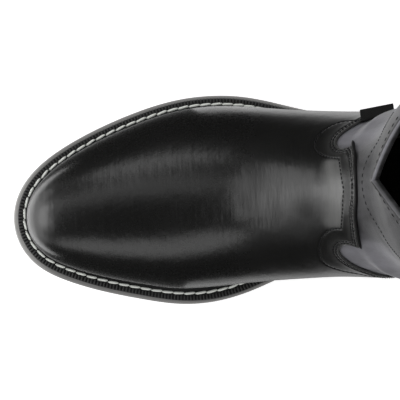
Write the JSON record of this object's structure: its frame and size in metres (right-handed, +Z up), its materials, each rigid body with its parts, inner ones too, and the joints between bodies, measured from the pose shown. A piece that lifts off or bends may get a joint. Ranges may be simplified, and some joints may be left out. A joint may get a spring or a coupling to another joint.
{
  "type": "roper boot",
  "caption": "Black leather pull-on roper boot for the right foot, with a round toe, smooth vamp, low heel, stitched ribbed welt and plain charcoal shaft with a dipped collar.",
  "frame": {"origin": "middle of the boot's bounding box on the floor it stands on", "axes": "+X from the toe to the heel, +Y to the outer (lateral) side of the right foot, +Z up from the floor"},
  "size_m": [0.305, 0.1098, 0.2607],
  "materials": {
    "upper_leather": "polished black",
    "shaft_leather": "soft sheen charcoal",
    "sole_rubber": "dusty satin",
    "heel_stack": "dyed and burnished edge",
    "welt_leather": "wheeled and dyed",
    "insole_board": "matte black",
    "tab_fabric": "woven tape"
  },
  "bodies": {
    "root": {"outsole": "sole_rubber", "heel_block": "heel_stack", "heel_cap": "sole_rubber", "welt": "welt_leather", "insole": "insole_board", "upper": "shaft_leather", "vamp": "upper_leather", "counter": "upper_leather", "collar_binding": "shaft_leather", "side_tab": "tab_fabric"}
  },
  "joints": []
}
